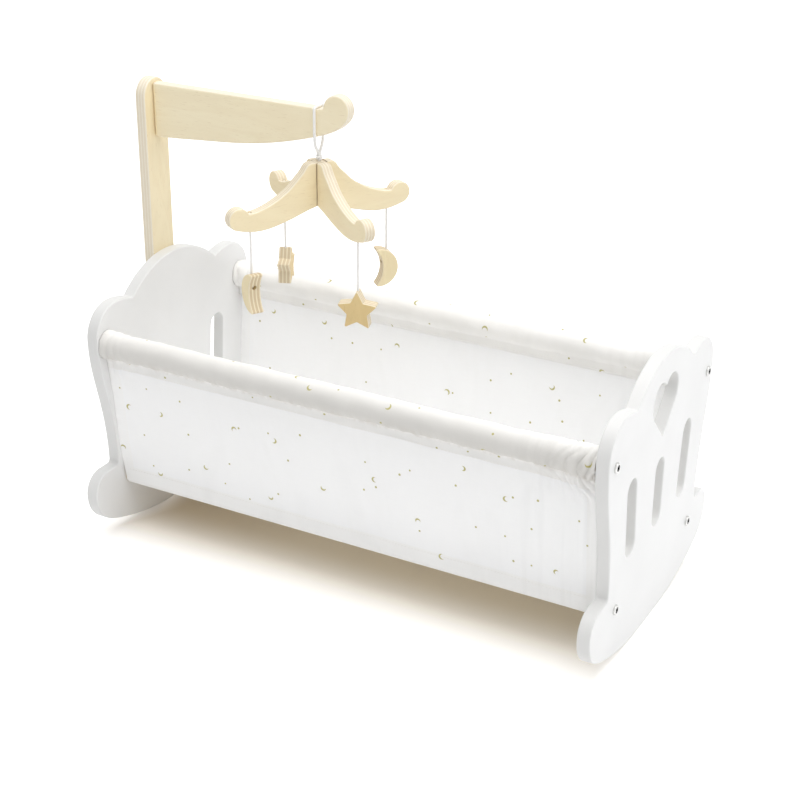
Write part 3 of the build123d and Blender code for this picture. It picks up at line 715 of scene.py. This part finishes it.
def low_casing(side, seed, thread):
    """The strip inside the bed that holds the low rail: from the wall, over the rail, to the floor."""
    path = casing_profile()
    run = lengths(path)
    length = 2 * INNER_HALF - 2 * HEM_GAP
    columns = 200
    vertices, uv = [], []
    for row, (out, up) in enumerate(path):
        t = run[row]
        n = outward(path, row)
        edge = near(t - 1.5 * MM, 3 * MM)
        seam = near(run[-1] - t, 6 * MM)
        for c in range(columns):
            along = length * c / (columns - 1)
            x = LEFT_END + HEM_GAP + along
            slack = 0.5 + ripple(x, 20 * MM, t, 14 * MM, seed + 41)
            tuck = 0.5 + ripple(x, 5.5 * MM, t, 20 * MM, seed + 43)
            height = 0.5 * MM * slack * (1 - edge) * (1 - seam) + 0.35 * MM * tuck * seam
            vertices.append((x, side * (out - n[0] * height), up - n[1] * height))
            uv.append((along, t))
    word = side_word(side)
    material = cloth_material(f"printed_cotton_casing_{word}", length, [(-MM, FLOOR_HEM)],
                              0.17 * seed, backed=1.0)
    faces = grid_faces(columns, len(path), side)
    strip = add_mesh(f"low_casing_{word}", vertices, faces, material, "cradle", uv)
    thicken(strip)
    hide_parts(f"fabric_side_{word}")
    n = outward(path, 1)
    line = cloth_line(vertices, columns, 1, (0, -side * n[0], -n[1]))
    stitches(f"stitches_casing_{word}", line, thread)


def stitch_faces(base):
    """The faces of one stitch: rings of points along a thread, closed at both ends."""
    last = base + (len(THREAD_SWELL) - 1) * THREAD_SIDES
    faces = []
    for ring in range(base, last, THREAD_SIDES):
        for k in range(THREAD_SIDES):
            n = (k + 1) % THREAD_SIDES
            faces.append((ring + k, ring + n, ring + THREAD_SIDES + n, ring + THREAD_SIDES + k))
    faces.append(tuple(base + k for k in reversed(range(THREAD_SIDES))))
    faces.append(tuple(last + k for k in range(THREAD_SIDES)))
    return faces


def stitches(name, line, material):
    """A row of stitches along a line of points, each a small thread lying on the cloth."""
    reach = [0.0]
    for a, b in zip(line, line[1:]):
        reach.append(reach[-1] + (b - a).length)

    def at(distance):
        i = next((i for i in range(1, len(reach)) if reach[i] >= distance), len(reach) - 1)
        share = (distance - reach[i - 1]) / (reach[i] - reach[i - 1])
        return line[i - 1].lerp(line[i], share)

    vertices, faces = [], []
    place = STITCH / 2
    while place + STITCH * STITCH_SHARE < reach[-1]:
        a, b = at(place), at(place + STITCH * STITCH_SHARE)
        along = (b - a).normalized()
        across = along.orthogonal().normalized()
        up = along.cross(across)
        faces += stitch_faces(len(vertices))
        for share, swell in THREAD_SWELL:
            for k in range(THREAD_SIDES):
                turn = 2 * math.pi * k / THREAD_SIDES
                spoke = math.cos(turn) * across + math.sin(turn) * up
                vertices.append(a.lerp(b, share) + THREAD_RADIUS * swell * spoke)
        place += STITCH
    add_mesh(name, vertices, faces, material, "cradle")


def cloth_line(vertices, columns, row, off):
    """Points along one row of a cloth, lifted off it for the stitches, short of its two ends."""
    margin = 4
    picked = vertices[row * columns + margin:(row + 1) * columns - margin]
    return [Vector(p) + Vector(off) * STITCH_LIFT for p in picked]


def floor_cloth(thread):
    """The bed's floor, sewn over the two sides and sagging between them."""
    columns, rows = 130, 50
    length = 2 * INNER_HALF - 2 * HEM_GAP
    base = LOW_RAIL[1] - LOW_RADIUS + CLOTH
    half = SEAM + 3 * MM
    vertices, uv = [], []
    for r in range(rows):
        y = -half + 2 * half * r / (rows - 1)
        middle = 1 - (y / half) ** 2
        for c in range(columns):
            along = length * c / (columns - 1)
            x = LEFT_END + HEM_GAP + along
            rise = 0.9 * MM * ripple(x, 60 * MM, y, 50 * MM, 41) * middle
            pucker = 0.2 * MM * ripple(x, 5 * MM, y, 20 * MM, 43) * near(half - abs(y), 8 * MM)
            vertices.append((x, y, base - FLOOR_SAG * middle + rise + pucker))
            uv.append((along, y + half))
    bands = [(-MM, FLOOR_HEM), (2 * half - FLOOR_HEM, 2 * half + MM)]
    material = cloth_material("printed_cotton_floor", length, bands, 2.3)
    faces = grid_faces(columns, rows)
    cloth = add_mesh("bed_cloth_floor", vertices, faces, material, "cradle", uv)
    thicken(cloth)
    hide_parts("fabric_floor")
    for word, row in (("front", 3), ("back", rows - 4)):
        line = cloth_line(vertices, columns, row, (0, 0, 1))
        stitches(f"stitches_floor_{word}", line, thread)


def bed():
    """The whole fabric bed with its seams."""
    thread = thread_material()
    for side, seed in ((-1, 2), (1, 6)):
        side_cloth(side, seed, thread)
        low_casing(side, seed, thread)
    floor_cloth(thread)


# Cords and knots
def add_curve(name, splines, radius, material, body):
    """A round cord along one or more open NURBS splines."""
    curve = bpy.data.curves.new(name, "CURVE")
    curve.dimensions = "3D"
    curve.bevel_depth = radius
    curve.bevel_resolution = 5
    curve.resolution_u = 12
    curve.use_fill_caps = True
    for points in splines:
        spline = curve.splines.new("NURBS")
        spline.points.add(len(points) - 1)
        for point, place in zip(spline.points, points):
            point.co = (*place, 1)
        spline.order_u = 3
        spline.use_endpoint_u = True
    piece = bpy.data.objects.new(name, curve)
    bpy.context.scene.collection.objects.link(piece)
    curve.materials.append(material)
    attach(piece, body)
    return piece


def knot_points(centre, radius, thread, lean=0.0):
    """An overhand knot pulled tight, as points round a centre; each lean shows another side of it."""
    steps = 30
    reach = radius - thread
    tilt = Matrix.Rotation(lean, 3, "X")
    points = []
    for i in range(steps + 1):
        a = 2 * math.pi * i / steps + 0.3
        swell = 0.62 + 0.36 * math.cos(3 * a)
        spot = Vector((swell * math.cos(2 * a), swell * math.sin(2 * a), 0.72 * math.sin(3 * a))) * reach
        points.append(Vector(centre) + tilt @ spot)
    return points


def string_spot(angle):
    """Where a string leaves its board, in plan."""
    turn = math.radians(angle)
    return MOBILE_X + HOLE_REACH * math.cos(turn), HOLE_REACH * math.sin(turn)


def upright(x, y, start, end):
    """Three points down a straight stretch of cord."""
    return [(x, y, start), (x, y, (start + end) / 2), (x, y, end)]


def hanging_loop(cord):
    """The cord loop over the arm, and the knot that it ends in."""
    half = [(1.55 * MM, 372.8 * MM), (1.55 * MM, 376.0 * MM), (7.1 * MM, 382.0 * MM),
            (7.1 * MM, 400.0 * MM), (7.1 * MM, 411.5 * MM), (7.1 * MM, PIVOT_Z), (2.7 * MM, PIVOT_Z)]
    points = [(MOBILE_X, -y, z) for y, z in half] + [(MOBILE_X, y, z) for y, z in reversed(half)]
    loop = add_curve("hanging_cord", [points], LOOP_RADIUS, cord, "loop")
    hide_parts("hang_loop")
    top = knot_points((MOBILE_X, 0, HANG_KNOT_Z), HANG_KNOT, LOOP_RADIUS, 0.35)
    stop = knot_points((MOBILE_X, 0, STOP_KNOT_Z), STOP_KNOT, LOOP_RADIUS)
    through = upright(MOBILE_X, 0, HANG_KNOT_Z, STOP_KNOT_Z)
    knot = add_curve("hanging_knot", [top, through, stop], LOOP_RADIUS, cord, "hanger")
    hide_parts("hang_knot")


def string_ends(cord):
    """The knots on top of the boards and the strings' ends inside them."""
    above = []
    for angle, *_ in PENDANTS.values():
        x, y = string_spot(angle)
        above.append(knot_points((x, y, TOP_KNOT_Z), KNOT_REACH, KNOT_THREAD, angle))
        inside = upright(x, y, TOP_KNOT_Z, STRING_Z)
        above.append(inside[:2] + [(x, y, STRING_Z + 1.3 * MM)])
    upper = add_curve("string_ends", above, KNOT_THREAD, cord, "mobile")
    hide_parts("string_knots")


def strings(cord):
    """Four strings, each with the knot in its pendant."""
    for name, (angle, turn, knot_z) in PENDANTS.items():
        x, y = string_spot(angle)
        foot = knot_z + 0.8 * STRING_KNOT
        points = upright(x, y, STRING_Z, foot)
        string = add_curve(f"{name}_hanging_string", [points], STRING_RADIUS, cord, f"{name}_cord")
        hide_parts(f"{name}_string")
        tied = knot_points((x, y, knot_z), KNOT_REACH, KNOT_THREAD, turn)
        knot = add_curve(f"{name}_tied_knot", [tied], KNOT_THREAD, cord, name)
        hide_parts(f"{name}_knot")


# Finishes of the model's own nodes
def paint_node(name, material):
    """Gives a model node its material."""
    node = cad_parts[name]
    node.data.materials.clear()
    node.data.materials.append(material)


def finish_metal():
    """Nickel bolts, brass inserts and zinc screws."""
    nickel = metal_material("nickel_plate", (0.58, 0.58, 0.57), (0.72, 0.72, 0.70), 0.28, socket=SOCKET)
    zinc = metal_material("zinc_plate", (0.45, 0.45, 0.44), (0.62, 0.62, 0.60), 0.25)
    brass = metal_material("brass_insert", (0.55, 0.40, 0.16), (0.70, 0.54, 0.26), 0.3)
    for side in ("left", "right"):
        paint_node(f"rail_bolts_{side}", nickel)
        paint_node(f"rail_inserts_{side}", brass)
    for name in ("panel_screws", "arm_screws"):
        paint_node(name, zinc)


def finish_boards():
    """Plywood on the arm, the post, the two boards of the cross and the pendants."""
    paint_node("mobile_arm", ply_material("arm_plywood", (0, 0, 0), 0, "x", PLY, seed=1.0))
    paint_node("post", ply_material("post_plywood", (POST_X, 0, 0), 90, "z", PLY,
                                    tint=(0.985, 0.97, 0.94), seed=4.0))
    hub = (MOBILE_X, 0, 0)
    for word, angle, seed in (("long", LONG_ANGLE, 7.0), ("cross", CROSS_ANGLE, 9.0)):
        name = f"mobile_board_{word}"
        paint_node(name, ply_material(f"{name}_plywood", hub, angle, "x", BOARD, seed=seed,
                                      tint=(0.99, 0.965, 0.915), dark=0.3, joint=BOARD_JOINT))
    for seed, (name, (angle, turn, _)) in enumerate(PENDANTS.items(), 12):
        tint, dark = ((0.98, 0.95, 0.86), 0.9) if "moon" in name else ((0.83, 0.71, 0.49), 0.7)
        paint_node(name, ply_material(f"{name}_plywood", (*string_spot(angle), 0), turn, "z", PENDANT,
                                      tint=tint, dark=dark, seed=seed))


def finish_nodes():
    """Paint, wood and metal on the nodes that keep their own shape."""
    paint = paint_material()
    for name in ("end_panel_left", "end_panel_right"):
        paint_node(name, paint)
    beech = dowel_material()
    for rail in ("top", "low"):
        for side in ("front", "back"):
            paint_node(f"{rail}_rail_{side}", beech)
    finish_metal()
    finish_boards()


# Camera, floor and light
def camera():
    """The photograph's viewpoint."""
    yaw, pitch, roll = (math.radians(angle) for angle in (YAW, PITCH, ROLL))
    back = Vector((math.sin(yaw) * math.cos(pitch), -math.cos(yaw) * math.cos(pitch), math.sin(pitch)))
    right = Vector((math.cos(yaw), math.sin(yaw), 0))
    up = back.cross(right)
    across = math.cos(roll) * right + math.sin(roll) * up
    above = -math.sin(roll) * right + math.cos(roll) * up
    data = bpy.data.cameras.new("view")
    data.sensor_width = SENSOR
    data.lens = LENS
    data.clip_start, data.clip_end = 0.05, 30
    made = bpy.data.objects.new("view", data)
    bpy.context.scene.collection.objects.link(made)
    turn = Matrix((across, above, back)).transposed().to_4x4()
    made.matrix_world = Matrix.Translation(Vector(EYE) + Vector((BED_X, 0, 0))) @ turn
    bpy.context.scene.camera = made


def floor_material():
    """A pale floor that glows white to the eye away from the cradle; beneath the bed it has a painted
    warm shadow, darker in colour and glowing less.
    """
    g = Graph("studio_floor")
    g.tree.nodes.remove(g.shader)
    x, y = g.split(g.coordinates())[:2]
    along = g.smooth(g.math("ABSOLUTE", x), *FADE_X)
    across = g.smooth(g.math("ABSOLUTE", y), *FADE_Y)
    away = g.math("MAXIMUM", along, across)
    # Painted shadow: a darker, warm floor colour beneath the bed, darkest towards the left.
    beneath = g.mix(g.smooth(x, *PALER_X), (0.66, 0.55, 0.385), (0.79, 0.705, 0.555))
    diffuse = g.node("ShaderNodeBsdfDiffuse")
    g.set(diffuse.inputs["Color"], g.mix(away, beneath, (0.93, 0.93, 0.93)))
    glow = g.node("ShaderNodeEmission")
    glow.inputs["Color"].default_value = (1, 1, 1, 1)
    path = g.node("ShaderNodeLightPath")
    seen = g.math("MAXIMUM", path.outputs["Is Camera Ray"], path.outputs["Is Glossy Ray"])
    seen = g.math("MAXIMUM", seen, path.outputs["Is Transmission Ray"])
    # Painted shadow as well: the glow is weak beneath the bed and strong away from it.
    g.set(glow.inputs["Strength"], g.times(seen, g.math("MULTIPLY_ADD", away, 0.40, 0.03)))
    both = g.node("ShaderNodeAddShader")
    g.set(both.inputs[0], diffuse.outputs[0])
    g.set(both.inputs[1], glow.outputs[0])
    output = next(n for n in g.tree.nodes if n.type == "OUTPUT_MATERIAL")
    g.set(output.inputs["Surface"], both.outputs[0])
    return g.material


def studio():
    """The floor that the cradle stands on, with its soft shadow, partly painted into its colour beneath
    the bed.
    """
    half = FLOOR_HALF
    corners = [(-half, -half, 0), (half, -half, 0), (half, half, 0), (-half, half, 0)]
    mesh = bpy.data.meshes.new("studio_floor")
    mesh.from_pydata(corners, [], [(0, 1, 2, 3)])
    mesh.materials.append(floor_material())
    floor = bpy.data.objects.new("studio_floor", mesh)
    bpy.context.scene.collection.objects.link(floor)


def sky():
    """A white world for the eye, which lights the scene more from above than from below."""
    world = bpy.data.worlds.new("studio")
    bpy.context.scene.world = world
    world.use_nodes = True
    tree = world.node_tree
    background = tree.nodes["Background"]
    background.inputs["Color"].default_value = (1, 1, 1, 1)
    path = tree.nodes.new("ShaderNodeLightPath")
    seen = tree.nodes.new("ShaderNodeMath")
    seen.operation = "MAXIMUM"
    tree.links.new(path.outputs["Is Camera Ray"], seen.inputs[0])
    tree.links.new(path.outputs["Is Glossy Ray"], seen.inputs[1])
    place = tree.nodes.new("ShaderNodeTexCoord")
    parts = tree.nodes.new("ShaderNodeSeparateXYZ")
    tree.links.new(place.outputs["Generated"], parts.inputs[0])
    height = tree.nodes.new("ShaderNodeMapRange")
    height.inputs["To Min"].default_value = SKY_LOW
    height.inputs["To Max"].default_value = SKY_HIGH
    tree.links.new(parts.outputs[2], height.inputs["Value"])
    strength = tree.nodes.new("ShaderNodeMapRange")
    tree.links.new(height.outputs["Result"], strength.inputs["To Min"])
    strength.inputs["To Max"].default_value = 1.0
    tree.links.new(seen.outputs[0], strength.inputs["Value"])
    tree.links.new(strength.outputs["Result"], background.inputs["Strength"])


def lamps():
    """A large soft lamp above and a smaller one on the right."""
    for name, (place, size, power) in LAMPS.items():
        data = bpy.data.lights.new(name, "AREA")
        data.shape = "DISK"
        data.size = size
        data.energy = power
        lamp = bpy.data.objects.new(name, data)
        lamp.location = place
        lamp.rotation_mode = "QUATERNION"
        lamp.rotation_quaternion = (Vector(LAMPS_AIM) - Vector(place)).to_track_quat("-Z", "Y")
        bpy.context.scene.collection.objects.link(lamp)


camera()
cotton = cord_material()
hanging_loop(cotton)
string_ends(cotton)
strings(cotton)
bed()
finish_nodes()
studio()
sky()
lamps()
bpy.context.scene.view_settings.view_transform = "Standard"
bpy.context.scene.cycles.diffuse_bounces = 9
